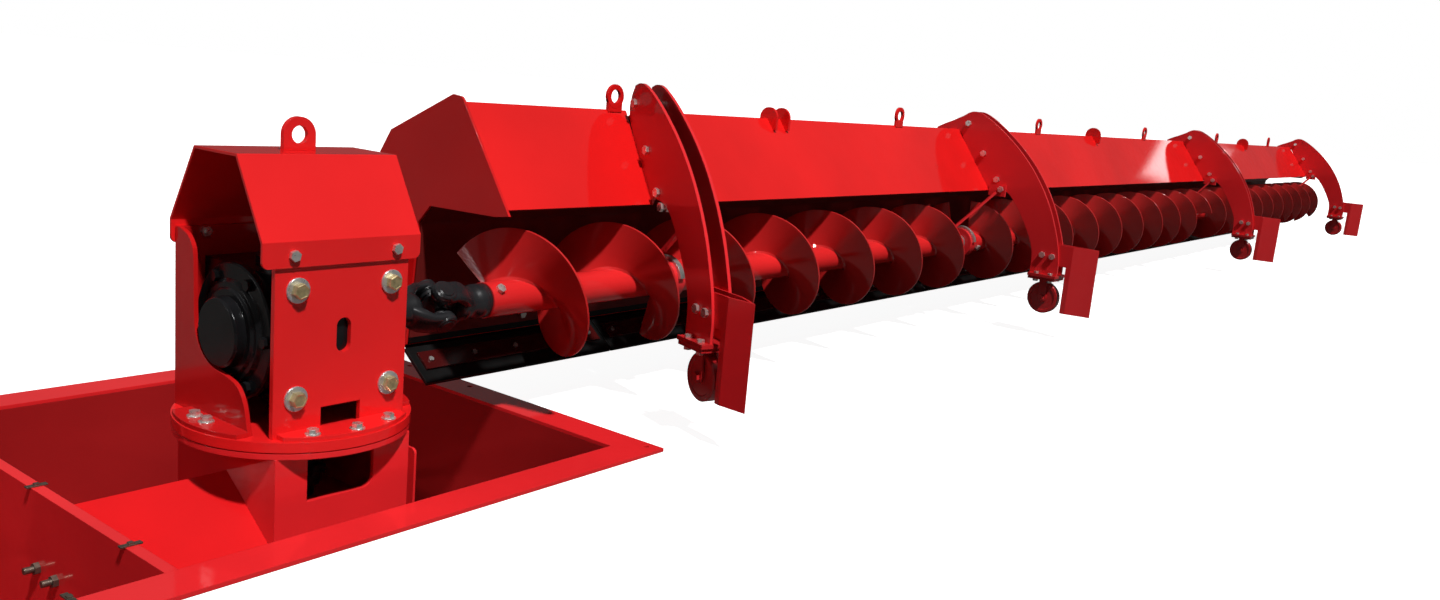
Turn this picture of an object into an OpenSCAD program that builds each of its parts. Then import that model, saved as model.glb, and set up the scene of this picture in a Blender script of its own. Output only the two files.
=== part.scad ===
// Bin sweep screw conveyor: a floor sump with a drive pedestal, a turntable
// gearbox housing and a long hooded sweep screw carried on four wheeled arms.
// Units are millimetres. X runs outward along the screw, -Y is the open front,
// Z is up. Z = 0 is the top of the sump rim, X = Y = 0 is the sweep pivot.

/* [Screw] */
// Outside diameter of the screw flighting
flight_d = 296; // [260:2:310]
// Pitch of the screw flighting
pitch = 304; // [240:4:360]
// Thickness of the flighting
flight_t = 6; // [4:1:10]
// Outside diameter of the screw tube
tube_d = 76; // [60:1:90]
// Diameter of the gearbox output shaft
shaft_d = 44; // [34:1:50]

/* [Layout] */
// Height of the screw axis above the sump rim
axis_z = 288; // [280:1:300]
// Distance from the pivot to the inner end of the hood
hood_start = 434; // [425:1:445]
// Distance from the pivot to the first arm
arm_x1 = 910; // [895:1:925]
// Distance from the pivot to the second arm
arm_x2 = 2766; // [2740:1:2800]
// Distance from the pivot to the third arm
arm_x3 = 5640; // [5600:1:5680]
// Distance from the pivot to the end arm
arm_x4 = 8487; // [8440:1:8530]
// Angle the first arm is turned so that its wheel follows its small circle
arm_skew = 19; // [15:0.5:23]
// Gap between the two plates of a double arm
arm_gap = 38; // [34:1:44]

/* [Plates] */
// Thickness of the hood sheet
hood_t = 4; // [3:0.5:6]
// Thickness of the arm plates
arm_t = 8; // [6:1:10]
// Thickness of the gearbox housing plates
side_t = 10; // [8:1:12]
// Thickness of the roof sheet
roof_t = 5; // [4:0.5:6]
// Radius of the turntable
table_r = 203; // [200:1:208]

/* [Wheels] */
// Diameter of the arm wheels
wheel_d = 112; // [100:1:116]
// Width of the arm wheels
wheel_w = 28; // [22:1:30]

/* [Sump] */
// Distance from the pivot to the outside of the rim at each end
rim_x = 680; // [660:5:720]
// Distance from the pivot to the front of the rim
rim_front = 314; // [304:1:330]
// Distance from the pivot to the back of the rim
rim_back = 774; // [740:2:800]
// Width of the rim flange
rim_w = 80; // [70:1:84]
// Depth of the sump
sump_depth = 330; // [280:5:400]

/* [Hidden] */

fr = flight_d / 2;
tr = tube_d / 2;
sr = shaft_d / 2;
wr = wheel_d / 2;

// turntable levels
ped_top = 102;
low_top = 112;
ring_top = 113.5;
tab_bot = 114;
tab_top = 132;

// gearbox and housing
case_h = 108;             // half height of the gearbox case
front_y = table_r * 138 / 203; // outer face of the front and back plates, within the table's rim
plate_x = table_r * 130 / 203; // half width of the front plate
bolt_x = plate_x - 38;    // half spacing of the four gearbox bolts across
bolt_z = 92;              // and above and below the axis
box_x = plate_x - 22;     // half length of the gearbox case
cover_r = front_y - side_t - 10; // radius of the gearbox cover, clear of the plates
lip_bot = axis_z + 131;   // lower edge of the roof lip
fold_z = axis_z + 174;    // fold between roof slope and lip
roof_z = axis_z + 307;    // top of the roof
roof_x = table_r * 156 / 203; // half length of the roof, over the wings
uj_x = 306;               // centre of the universal joint
box_dx = 3;               // the gearbox bolts sit a little outward of the pivot
wing_x = table_r * 150 / 203; // plane of the side wings on the back plate
roof_bolt_x = plate_x - 30; // half spacing of the roof bolts
foot_r = table_r - 17;    // bolt circle of the front and back feet
wing_foot_r = table_r - 28; // bolt circle of the feet of the wings

// hood section, as [y, height above the screw axis] along the outside of the sheet
hood_path = [[-53, 195], [98, 401], [126, 400], [322, 316], [358, 264], [262, -154], [205, -198]];

// wheel positions on the arms
wheel_y = -300;
wheel_z = 130;
arms = [[arm_x1, -arm_skew], [arm_x2, 0], [arm_x3, 0], [arm_x4, 0]];
pair = arm_gap + arm_t;   // from one plate of a double arm to the other

// screw sections: centres of the hanger bearings and the room left at each
gaps = [arm_x1 + 107, arm_x2 - 79, arm_x3 - 40, arm_x4 - 79];
rooms = [66, 108, 100, 106];
tube_x0 = 430;
screw_x0 = 462;
screw_end = arm_x4 + 155;
phase_a = 511;            // a flight edge is at the top here, sections 1 and 2
phase_b = 2742;           // the same for sections 3 and 4

// ---------- functions ----------
function unit(v) = v / norm(v);
function side(a, b) = let (d = unit(b - a)) [-d[1], d[0]];
function mitre(p, i, t) =
  i == 0 ? p[0] + t * side(p[0], p[1]) :
  i == len(p) - 1 ? p[i] + t * side(p[i - 1], p[i]) :
  let (a = side(p[i - 1], p[i]), b = side(p[i], p[i + 1]), s = a + b) p[i] + s * (t * 2 / (s * s));
function strip(p, t0, t1) = concat([for (i = [0 : len(p) - 1]) mitre(p, i, t0)], [for (i = [len(p) - 1 : -1 : 0]) mitre(p, i, t1)]);
function rev(l) = [for (i = [len(l) - 1 : -1 : 0]) l[i]];
// points of a smooth curve through the list of points
function cr(a, b, c, d, t) = 0.5 * ((2 * b) + (c - a) * t + (2 * a - 5 * b + 4 * c - d) * t * t + (3 * b - a - 3 * c + d) * t * t * t);
function smooth(p, n) = concat([for (i = [0 : len(p) - 2]) for (k = [0 : n - 1])
  cr(p[max(i - 1, 0)], p[i], p[i + 1], p[min(i + 2, len(p) - 1)], k / n)], [p[len(p) - 1]]);
function hex(af) = [for (a = [0 : 60 : 300]) af / sqrt(3) * [cos(a), sin(a)]];
// helix of the flight edge: angle 0 is the top, growing toward the front
function fx(a, ph) = ph + pitch * a / 360;

// ---------- small shared shapes ----------
module hex_head(af, h) linear_extrude(h) polygon(hex(af));
// bolt along +Z with its head on top of z = 0 and its shank going down
module bolt(d, af, h, l, w = 0, wt = 3) {
  translate([0, 0, w > 0 ? wt : 0]) rotate([0, 0, 17]) hex_head(af, h);
  translate([0, 0, -l]) cylinder(r = d / 2, h = l + (w > 0 ? wt : 0) + 1);
  if (w > 0) cylinder(r = w / 2, h = wt);
}
// a rod along X
module rod(x0, x1, r) translate([x0, 0, axis_z]) rotate([0, 90, 0]) cylinder(r = r, h = x1 - x0);
module yz(x, t) translate([x, 0, 0]) rotate([90, 0, 90]) linear_extrude(t) children();
module arm_frame(i) translate([arms[i][0], 0, 0]) rotate([0, 0, arms[i][1]]) children();

// ---------- sump ----------
module anchor_holes()
  for (x = [-657, 657], y = [-283, 283, 513, 745])
    translate([x, y, -20]) cylinder(r = 7, h = 40);

module sump_rim() color("#c21712")
  difference() {
    translate([-rim_x, -rim_front, -8]) cube([2 * rim_x, rim_front + rim_back, 8]);
    translate([-rim_x + rim_w, -rim_front + rim_w, -20]) cube([2 * (rim_x - rim_w), rim_front + rim_back - 2 * rim_w, 40]);
    anchor_holes();
  }

module sump_pan() color("#a31410")
  translate([0, 0, -8 - sump_depth])
    difference() {
      translate([-rim_x + rim_w - 6, -rim_front + rim_w - 6, 0]) cube([2 * (rim_x - rim_w) + 12, rim_front + rim_back - 2 * rim_w + 12, sump_depth]);
      translate([-rim_x + rim_w, -rim_front + rim_w, 6]) cube([2 * (rim_x - rim_w), rim_front + rim_back - 2 * rim_w, sump_depth]);
      cylinder(r = sr + 8, h = 40, center = true);
    }

module divider_wall() color("#c21712") {
  translate([-358, -rim_front + rim_w, -5]) cube([20, rim_front + rim_back - 2 * rim_w, 5]);
  difference() {
    translate([-358, -rim_front + rim_w, -2 - sump_depth]) cube([6, rim_front + rim_back - 2 * rim_w, sump_depth - 3]);
    for (y = [121, 188]) translate([-370, y, -136]) rotate([0, 90, 0]) cylinder(r = 6.3, h = 40);
  }
}

module clip(x, y) translate([x, y, 0]) {
  translate([-17, -5, 0]) cube([34, 10, 2.5]);
  translate([-4, -4, 2.5]) cube([8, 8, 3]);
}
module divider_clips() color("#b5b3ab") {
  for (y = [-111, 215, 541]) clip(-348, y);
  translate([-489, -230, 0]) rotate([0, 0, 90]) clip(0, 0);
}

// bolts through the divider wall, threaded ends outward
module divider_bolts() color("#6b655c")
  for (y = [121, 188]) translate([-358, y, -136]) rotate([0, -90, 0]) {
    hex_head(19, 9);
    translate([0, 0, -14]) cylinder(r = 6, h = 38);
    translate([0, 0, -13]) hex_head(19, 7);
  }

// sloping plate from the pedestal down to the front corner of the sump
ramp_a = [-134, -7, 44];
ramp_dir = [-204, 106, -44];
module grain_ramp() color("#c21712") difference() {
  intersection() {
    translate(ramp_a) rotate([0, 0, atan2(ramp_dir[1], ramp_dir[0])]) rotate([0, -atan2(ramp_dir[2], norm([ramp_dir[0], ramp_dir[1]])), 0])
      rotate([90, 0, 90]) translate([0, 0, -300]) linear_extrude(700)
        polygon(strip([[-330, -330], [0, 0], [380, -330]], -5, 0));
    translate([-352, -rim_front + rim_w, -2 - sump_depth]) cube([352 - 134, 700, sump_depth + 2 + 60]);
    translate([-352, -rim_front + rim_w, -2 - sump_depth]) cube([352 - 134, rim_front - rim_w + 400, sump_depth + 2 + 47]);
  }
  translate([-370, -rim_front, -5.3]) cube([32.3, rim_front + rim_back, 80]);
}

// ---------- pedestal and turntable ----------
module pedestal() color("#b81511")
  difference() {
    union() {
      translate([-134, -155, -2 - sump_depth]) cube([268, 310, sump_depth + 2 + ped_top]);
    }
    translate([-126, -147, -20 - sump_depth]) cube([252, 294, sump_depth + 12 + ped_top]);
    // window in the front wall
    translate([0, -140, 0]) rotate([90, 0, 0]) linear_extrude(30)
      polygon(concat([[-74, 16], [-74, 90], [58, 90]], [for (a = [0 : -15 : -90]) [38 + 20 * cos(a), 36 + 20 * sin(a)]]));
    // hub hole in the top
    cylinder(r = 80, h = 400);
  }

module shaft_bearing() translate([0, 0, -60])
  difference() {
    translate([-126, -147, 0]) cube([252, 294, 12]);
    translate([0, 0, -5]) cylinder(r = sr - 2 + 0.05, h = 30);
  }

module pedestal_guide() color("#b81511") {
  difference() {
    translate([148, -155, -2 - sump_depth]) cube([5, 310, sump_depth + 66]);
    translate([140, -155, 54]) rotate([0, 90, 0]) difference() {
      translate([-20, -10, 0]) cube([20, 20, 20]);
      translate([0, 10, -1]) cylinder(r = 10, h = 22);
    }
  }
  for (y = [-130, 106], z = [-100, 20]) translate([134, y, z]) cube([14, 24, 24]);
}

module lower_table() color("#c21712") {
  difference() {
    translate([0, 0, ped_top]) cylinder(r = table_r - 1, h = low_top - ped_top);
    cylinder(r = 60.05, h = 400);
  }
  shaft_bearing();
  thrust_ring();
}

module thrust_ring()
  difference() {
    translate([0, 0, low_top]) cylinder(r = table_r - 8, h = ring_top - low_top);
    cylinder(r = 66, h = 400);
  }

module upper_table() color("#c21712")
  difference() {
    union() {
      translate([0, 0, tab_bot]) cylinder(r = table_r, h = tab_top - tab_bot);
      translate([0, 0, ped_top - 40]) cylinder(r = 60, h = 60);
    }
    cylinder(r = 50, h = 400);
    foot_holes();
  }

// bolts that hold the housing feet, on the turntable's bolt circle
foot_side = [-8.5, 4.5];
foot_front = [-24, 0, 24];
module foot_places() {
  for (a = foot_front) { rotate([0, 0, -90 + a]) translate([foot_r, 0, 0]) children(); rotate([0, 0, 90 + a]) translate([foot_r, 0, 0]) children(); }
  for (a = foot_side) { rotate([0, 0, 180 + a]) translate([wing_foot_r, 0, 0]) children(); rotate([0, 0, -a]) translate([wing_foot_r, 0, 0]) children(); }
}
module foot_holes() translate([0, 0, tab_bot - 5]) foot_places() cylinder(r = 5.3, h = 60);
module foot_bolts() color("#c9c5b8")
  translate([0, 0, tab_top + 8]) foot_places() { bolt(10, 17, 8, 25, 26, 2); }

// ---------- drive ----------
module drive_shaft() color("#2a2a2c") {
  translate([0, 0, -sump_depth - 50]) cylinder(r = sr - 2, h = sump_depth + 50 + axis_z - case_h + 40);
  // lower end that the motor's coupling goes on
  translate([0, 0, -sump_depth - 110]) cylinder(r = sr - 4, h = 60);
}

module drive_coupling() color("#1c1c1e")
  difference() {
    union() {
      translate([0, 0, -8]) cylinder(r = 46, h = 64);
      translate([0, 0, -30]) cylinder(r = 36, h = 76);
      for (a = [15 : 90 : 285]) rotate([0, 0, a]) translate([52, 0, 26]) rotate([90, 0, 0]) translate([0, 0, -16]) cylinder(r = 9, h = 32);
    }
    translate([0, 0, -60]) cylinder(r = sr - 2, h = 200);
  }

// ---------- gearbox housing ----------
// front or back plate with its foot, drawn for the front, hw is half its width
module housing_plate(hw, notch) {
  difference() {
    translate([-hw, -front_y, tab_top]) cube([2 * hw, side_t, lip_bot + 30 - tab_top]);
    for (x = [-bolt_x, bolt_x], z = [-bolt_z, bolt_z])
      translate([box_dx + x, 0, axis_z + z]) rotate([90, 0, 0]) cylinder(r = 8.3, h = 300);
    for (x = [-roof_bolt_x, roof_bolt_x]) translate([x, 0, lip_bot + 20]) rotate([90, 0, 0]) cylinder(r = 5.3, h = 300);
    // sight slot
    translate([box_dx - 2, -front_y + 40, axis_z + 7]) rotate([90, 0, 0]) {
      for (s = [-16, 16]) translate([0, s, 0]) cylinder(r = 14, h = 60);
      translate([-14, -16, 0]) cube([28, 32, 60]);
    }
    if (notch) translate([-40, -front_y - 20, tab_top - 10]) cube([78, 60, 51]);
  }
  // foot folded outward onto the turntable
  difference() {
    intersection() {
      translate([8 - plate_x, -front_y - 70, tab_top]) cube([2 * plate_x - 16, 70, 8]);
      cylinder(r = table_r - 3, h = 400);
    }
    translate([0, 0, tab_top - 5]) foot_places() cylinder(r = 5.3, h = 60);
  }
}
// side wing folded from the back plate, with the scooped front edge
wing = [[145, 163], [124, 162], [98, 154], [83, 140], [76, 122], [74, 68], [73, 25], [69, -7], [58, -30], [40, -48], [15, -61], [-20, -67], [-54, -74], [-73, -87], [-86, -108], [-93, -133]];
module side_wing() {
  translate([-wing_x, 0, axis_z]) rotate([90, 0, 90]) linear_extrude(8)
    polygon(concat([[front_y - side_t / 2, -axis_z + tab_top], [front_y - side_t / 2, lip_bot + 30 - axis_z], [front_y - side_t, lip_bot + 30 - axis_z], [front_y - side_t, 162]], smooth([for (p = wing) if (p[0] < 126) [p[0] * front_y / 138, p[1]]], 3), [[-100 * front_y / 138, -axis_z + tab_top]]));
  difference() {
    intersection() {
      translate([-wing_x, 100 - table_r, tab_top]) mirror([1, 0, 0]) cube([table_r - wing_x, 2 * table_r - 222, 8]);
      cylinder(r = table_r - 2, h = 400);
    }
    translate([0, 0, tab_top - 5]) foot_places() cylinder(r = 5.3, h = 60);
  }
}
module housing_front() color("#c81914") housing_plate(plate_x, true);
module housing_back() color("#bb1612") {
  difference() {
    mirror([0, 1, 0]) housing_plate(wing_x, false);
    difference() { translate([-300, 0, 0]) cube([600, 400, 900]); cylinder(r = table_r - 1, h = 900); }
    link_bolt_places() cylinder(r = 6.3, h = 60, center = true);
  }
  side_wing();
  mirror([1, 0, 0]) side_wing();
}

// roof sheet over the plates
roof_path = [[-front_y - roof_t, lip_bot], [-front_y - roof_t, fold_z], [-65, roof_z], [65, roof_z], [front_y + roof_t, fold_z], [front_y + roof_t, lip_bot]];
module roof() color("#cf1c16")
  difference() {
    yz(-roof_x, 2 * roof_x - 5) polygon(strip(roof_path, 0, -roof_t));
    for (x = [-roof_bolt_x, roof_bolt_x]) translate([x, 250, lip_bot + 20]) rotate([90, 0, 0]) cylinder(r = 5.3, h = 500);
    // rounded lower corners of the lips
    for (s = [-1, 1]) translate([s < 0 ? -roof_x : roof_x - 5, 0, lip_bot]) rotate([90, 0, 0]) difference() {
      translate([-12, -12, -200]) cube([24, 24, 400]);
      translate([-s * 12, 12, -210]) cylinder(r = 12, h = 420);
    }
  }

module roof_eye() color("#cf1c16")
  translate([-4.7, 5, roof_z]) rotate([90, 0, 0]) difference() {
    union() {
      translate([0, 27, 0]) cylinder(r = 31, h = 10);
      translate([-31, 0, 0]) cube([62, 27, 10]);
    }
    translate([0, 27, -1]) cylinder(r = 15.5, h = 12);
    translate([-40, -40, -1]) cube([80, 40, 12]);
  }

// bent plate that draws the hood along, welded to the hood end plate
link_z = [axis_z - 62, axis_z + 62];
link_path = [[30, front_y + 4], [132, front_y + 4], [431, 254], [431, 286]];
module drawbar() difference() {
  translate([0, 0, link_z[0]]) linear_extrude(link_z[1] - link_z[0]) polygon(strip(link_path, -4, 4));
  link_bolt_places() cylinder(r = 6.3, h = 60, center = true);
}
module link_bolt_places() for (x = [48, 112], z = [link_z[0] + 20, link_z[1] - 20]) translate([x, front_y + 8, z]) rotate([-90, 0, 0]) children();

module housing_bolts() color("#c9c5b8") {
  link_bolt_places() { bolt(12, 18, 8, side_t + 7.5); }
  roof_bolts();
}
module roof_bolts()
  for (x = [-roof_bolt_x, roof_bolt_x], s = [0, 180]) rotate([0, 0, s]) translate([x, -front_y - roof_t, lip_bot + 20]) rotate([90, 0, 0]) {
    bolt(10, 17, 7, roof_t + side_t + 12);
    translate([0, 0, -roof_t - side_t - 8]) hex_head(17, 8);
  }

module gearbox_bolts() color("#cdb873")
  for (x = [-bolt_x, bolt_x], z = [-bolt_z, bolt_z], s = [0, 180])
    translate([box_dx, 0, 0]) rotate([0, 0, s]) translate([x, -front_y, axis_z + z]) rotate([90, 0, 0]) bolt(16, 24, 11, side_t + 18, 43, 3.5);

module gearbox_case() color("#1c1c1e")
  difference() {
    union() {
      translate([8 - box_x, -front_y + side_t, axis_z - case_h]) cube([2 * box_x - 16, 2 * (front_y - side_t), 2 * case_h]);
      rod(-box_x, box_x, cover_r - 6);
      rod(box_x, box_x + 18, 58);
      translate([0, 0, axis_z - case_h - 20]) cylinder(r = 42, h = 30);
      translate([0, 0, axis_z + case_h - 5]) cylinder(r = 70, h = 21);
    }
    rod(60, box_x + 32, sr + 0.05);
    translate([0, 0, axis_z - case_h - 40]) cylinder(r = sr - 2 + 0.05, h = 90);
    for (x = [-bolt_x, bolt_x], z = [-bolt_z, bolt_z])
      translate([box_dx + x, 250, axis_z + z]) rotate([90, 0, 0]) cylinder(r = 8.3, h = 500);
    for (a = [30 : 60 : 330]) translate([18 - box_x, (cover_r - 17) * sin(a), axis_z + (cover_r - 17) * cos(a)]) rotate([0, -90, 0]) cylinder(r = 6.3, h = 40);
  }

module gearbox_cover() color("#1a1a1c")
  difference() {
    translate([-box_x, 0, axis_z]) rotate([0, -90, 0]) rotate_extrude()
      polygon([[0, 0], for (p = [[0, 0], [0, 11], [3, 14], [28, 14], [34, 20], [42, 20], [46, 24], [57, 24], [58, 40], [61, 43]]) [cover_r - p[0], p[1]], [0, 43]]);
    for (a = [30 : 60 : 330]) translate([18 - box_x, (cover_r - 17) * sin(a), axis_z + (cover_r - 17) * cos(a)]) rotate([0, -90, 0]) cylinder(r = 6.3, h = 60);
  }

module cover_bolts() color("#232325")
  for (a = [30 : 60 : 330]) translate([-box_x - 14, (cover_r - 17) * sin(a), axis_z + (cover_r - 17) * cos(a)]) rotate([0, -90, 0]) bolt(12, 18, 8, 28);

// ---------- universal joint ----------
// fork of a yoke, opening toward +X, arms above and below
module fork(hub_r, hub_l) {
  difference() {
    union() {
      translate([-hub_l, 0, 0]) rotate([0, 90, 0]) cylinder(r = hub_r, h = hub_l - 40);
      translate([-58, 0, 0]) rotate([0, 90, 0]) intersection() {
        cylinder(r = 52, h = 58);
        translate([-60, -25, 0]) cube([120, 50, 58]);
      }
      for (s = [-1, 1]) translate([0, 0, s * 41]) cylinder(r = 26, h = 20, center = true);
    }
    // room for the cross and the other fork
    translate([-40, -40, -31]) cube([120, 80, 62]);
    cylinder(r = 15.3, h = 200, center = true);
  }
}
uj_turn = 40;             // the outer yoke leans this far toward the front
module yoke_inner() color("#202022") {
  translate([uj_x, 0, axis_z]) rotate([uj_turn + 90, 0, 0]) fork(33, 160);
  rod(66, uj_x - 140, sr);
}
module yoke_outer() color("#202022")
  difference() {
    translate([uj_x, 0, axis_z]) rotate([uj_turn, 0, 0]) mirror([1, 0, 0]) fork(36, tube_x0 - uj_x);
    rod(uj_x + 60, tube_x0 + 40, stub_r + 0.3);
  }
module yoke_cross() color("#38383a")
  translate([uj_x, 0, axis_z]) {
    for (a = [uj_turn, uj_turn + 90]) rotate([a, 0, 0]) cylinder(r = 15, h = 98, center = true);
    for (a = [uj_turn, uj_turn + 90], s = [-1, 1]) rotate([a, 0, 0]) translate([0, 0, s * 26]) cylinder(r = 19, h = 8, center = true);
    rotate([0, 90, 0]) cylinder(r = 21, h = 30, center = true);
  }

// ---------- screw ----------
stub_r = tr - 9;
// places of the cross bolts, and the holes they need
bolt_xs = concat([tube_x0 + 22], [for (i = [0 : 3]) for (s = [-1, 1]) gaps[i] + s * (rooms[i] / 2 + 24)]);
// the later bolts stand square to the flight edge at their place
function bolt_turn(x) = x < gaps[1] - 200 ? 47 : 90 + (x - (x < gaps[1] ? phase_a : phase_b)) * 360 / pitch;
module tube_bolt_holes() for (x = bolt_xs) translate([x, 0, axis_z]) rotate([bolt_turn(x), 0, 0]) cylinder(r = 6.3, h = 200, center = true);
module tube(x0, x1) difference() { rod(x0, x1, tr); rod(x0 - 1, x1 + 1, stub_r + 0.3); }
module auger_tube() color("#c81914") difference() {
  union() {
    tube(tube_x0, gaps[0] - rooms[0] / 2 + 4);
    for (i = [0 : 2]) tube(gaps[i] + rooms[i] / 2 - 4, gaps[i + 1] - rooms[i + 1] / 2 + 4);
    tube(gaps[3] + rooms[3] / 2 - 4, screw_end);
  }
  tube_bolt_holes();
}
module stub_shafts() color("#77787a") difference() {
  union() {
    rod(uj_x + 64, tube_x0 + 60, stub_r);
    for (i = [0 : 3]) rod(gaps[i] - rooms[i] / 2 - 60, gaps[i] + rooms[i] / 2 + 60, stub_r);
    rod(screw_end - 60, screw_end + 12, stub_r);
  }
  tube_bolt_holes();
}

// one length of right-hand flighting made of flat facets
module flight(x0, x1, ph) {
  n = ceil((x1 - x0) / pitch * 24);
  a0 = (x0 - ph) * 360 / pitch;
  a1 = (x1 - flight_t - ph) * 360 / pitch;
  ri = tr + 0.6;
  pts = [for (i = [0 : n]) let (a = a0 + (a1 - a0) * i / n, x = fx(a, ph))
    for (q = [[ri, 0], [fr, 0], [fr, flight_t], [ri, flight_t]]) [x + q[1], -q[0] * sin(a), axis_z + q[0] * cos(a)]];
  quads = [for (i = [0 : n - 1]) for (k = [0 : 3]) let (a = 4 * i + k, b = 4 * i + (k + 1) % 4)
    [[a, b, b + 4], [a, b + 4, a + 4]]];
  polyhedron(pts, concat([[3, 2, 1, 0]], [for (q = quads) for (f = q) f], [[4 * n, 4 * n + 1, 4 * n + 2, 4 * n + 3]]), convexity = 10);
}
module flighting_1() color("#c81914") flight(screw_x0, gaps[0] - rooms[0] / 2, phase_a);
module flighting_2() color("#c81914") flight(gaps[0] + rooms[0] / 2, gaps[1] - rooms[1] / 2, phase_a);
module flighting_3() color("#c81914") flight(gaps[1] + rooms[1] / 2, gaps[2] - rooms[2] / 2, phase_b);
module flighting_4() color("#c81914") flight(gaps[2] + rooms[2] / 2, gaps[3] - rooms[3] / 2, phase_b);
module flighting_5() color("#c81914") flight(gaps[3] + rooms[3] / 2, screw_end, phase_b);

module tube_bolts() color("#c9c5b8")
  for (x = bolt_xs) translate([x, 0, axis_z]) rotate([bolt_turn(x), 0, 0]) {
    translate([0, 0, tr]) bolt(12, 18, 8, tube_d + 12);
    translate([0, 0, -tr - 8]) hex_head(18, 8);
  }

// ---------- hood ----------
hood_pts = [for (p = hood_path) [p[0], p[1] + axis_z]];
board_pts = [[186, axis_z + 172], [223, axis_z + 132], [250, axis_z - 146]];
module hood_shape() {
  polygon(strip(hood_pts, 0, -hood_t));
  polygon(strip(board_pts, 0, -hood_t));
}
// the space taken by arm i and all that lies outward (s = 1) or inward (s = -1) of it,
// x is the face of its plate, m the line where two hood sections meet below the plates
module past_arm(i, s, x, m) arm_frame(i) {
  translate([s > 0 ? x : x - 6000, -900, 432]) cube([6000, 1094, 900]);
  translate([s > 0 ? m : m - 6000, -900, -900]) cube([6000, 2600, 2600]);
}
mid = pair / 2;
module hood_length(x0, x1) difference() {
  yz(x0, x1 - x0) hood_shape();
  clamp_bolt_places() cylinder(r = 3.3, h = 60, center = true);
  board_bolt_places() cylinder(r = 5.3, h = 60, center = true);
}
module hood_1() color("#cf1c16") difference() { hood_length(hood_start + 6, arm_x1 + 400); past_arm(0, 1, -arm_t / 2, mid); }
module hood_2() color("#cf1c16") difference() { hood_length(arm_x1 - 300, arm_x2 + 100); past_arm(0, -1, pair + arm_t / 2, mid); past_arm(1, 1, -arm_t / 2, mid); }
module hood_3() color("#cf1c16") difference() { hood_length(arm_x2 - 100, arm_x3 + 100); past_arm(1, -1, pair + arm_t / 2, mid); past_arm(2, 1, -arm_t / 2, mid); }
module hood_4() color("#cf1c16") difference() {
  union() {
    hood_length(arm_x3 - 100, arm_x4 - arm_t / 2);
    // sheet that closes the outer end
    yz(arm_x4 - arm_t / 2 - 6, 6) polygon(concat([for (k = [0 : 5]) hood_pts[k]], [[250, axis_z - 148], [223, axis_z + 132], [186, axis_z + 172], [-20, axis_z + 178]]));
  }
  past_arm(2, -1, pair + arm_t / 2, mid);
  hanger_bar(3, 1);
}

// plate that closes the inner end of the hood, standing a little proud of it
module hood_end() color("#b81511") {
  yz(hood_start, 6) polygon([[-61, axis_z + 183], [94, axis_z + 405], [101, axis_z + 411], [128, axis_z + 414], [329, axis_z + 322], [365, axis_z + 270],
    [267, axis_z - 156], [250, axis_z - 148], [223, axis_z + 132], [186, axis_z + 172], [-20, axis_z + 177]]);
  drawbar();
}

arm_holes = [[60, 713], [-12, 611], [-76, 524], [-100, 492]];
arm_holes_1 = [[60, 709], [-12, 604], [-76, 513], [-100, 482]];
function holes_of(i) = i == 0 ? arm_holes_1 : arm_holes;
// world position of a point on arm i, s out from its inner plate
function arm_pt(i, s, y, z) = [arms[i][0] + s * cos(arms[i][1]) - y * sin(arms[i][1]), s * sin(arms[i][1]) + y * cos(arms[i][1]), z];

// lifting rings on the ridge and wide tabs between them
module ring_lug(x) translate([x, 100, axis_z + 406]) rotate([90, 0, 0]) difference() {
  union() { translate([0, 27, 0]) cylinder(r = 28, h = 8); translate([-24, -12, 0]) cube([48, 32, 8]); }
  translate([0, 28, -1]) cylinder(r = 16, h = 10);
}
module lifting_lugs() color("#cf1c16")
  difference() {
    union() {
      for (x = [arm_x1 - 16, arm_x2 - 466, arm_x2 + 744, arm_x3 - 714, arm_x3 + 705, arm_x4 - 747]) ring_lug(x);
      for (x = [arm_x1 + 626, arm_x1 + 688]) tab_plate(x, 29);
      for (x = [arm_x2 + 1403, arm_x3 + 1365]) tab_plate(x, 36);
    }
    yz(hood_start, arm_x4) polygon(concat(hood_pts, [[-53, 0]]));
  }
module tab_plate(x, r) translate([x, 95, axis_z + 400]) rotate([90, 0, 90]) difference() {
  union() { translate([0, 4, 0]) cylinder(r = r, h = 8); translate([-r, -30, 0]) cube([2 * r, 34, 8]); }
  translate([0, r - 18, -1]) cylinder(r = 9, h = 10);
}

// rubber wiper lying on the slanting foot of the hood, under a clamp bar;
// u runs down the foot, v stands up from its sheet
wp0 = hood_pts[5];
wdir = unit(hood_pts[6] - hood_pts[5]);
rub_t = 8;
bar_t = 6;
spans = [[hood_start - 6, arm_x1 + 110], [arm_x1 + 114, arm_x2 + mid - 2], [arm_x2 + mid + 2, arm_x3 + mid - 2], [arm_x3 + mid + 2, arm_x4 - 12]];
function on_foot(u, v) = wp0 + u * wdir + (v + hood_t) * [wdir[1], -wdir[0]];
module foot_strip(u0, u1, v0, v1) polygon([on_foot(u0, v0), on_foot(u1, v0), on_foot(u1, v1), on_foot(u0, v1)]);
// places of the clamp bolts, z standing up from the clamp bar
module clamp_bolt_places()
  for (s = spans, x = [s[0] + 42 : 126 : s[1] - 20])
    translate([x, on_foot(60, rub_t + bar_t)[0], on_foot(60, rub_t + bar_t)[1]]) rotate([atan2(-wdir[1], -wdir[0]), 0, 0]) children();
module wiper_strips() color("#161616")
  difference() {
    for (s = spans) yz(s[0], s[1] - s[0]) foot_strip(16, 118, 0, rub_t);
    clamp_bolt_places() cylinder(r = 3.3, h = 60, center = true);
  }
module clamp_bars() color("#8a1410")
  difference() {
    for (s = spans) yz(s[0] + 18, s[1] - s[0] - 36) foot_strip(36, 84, rub_t, rub_t + bar_t);
    clamp_bolt_places() cylinder(r = 3.3, h = 60, center = true);
  }
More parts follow.
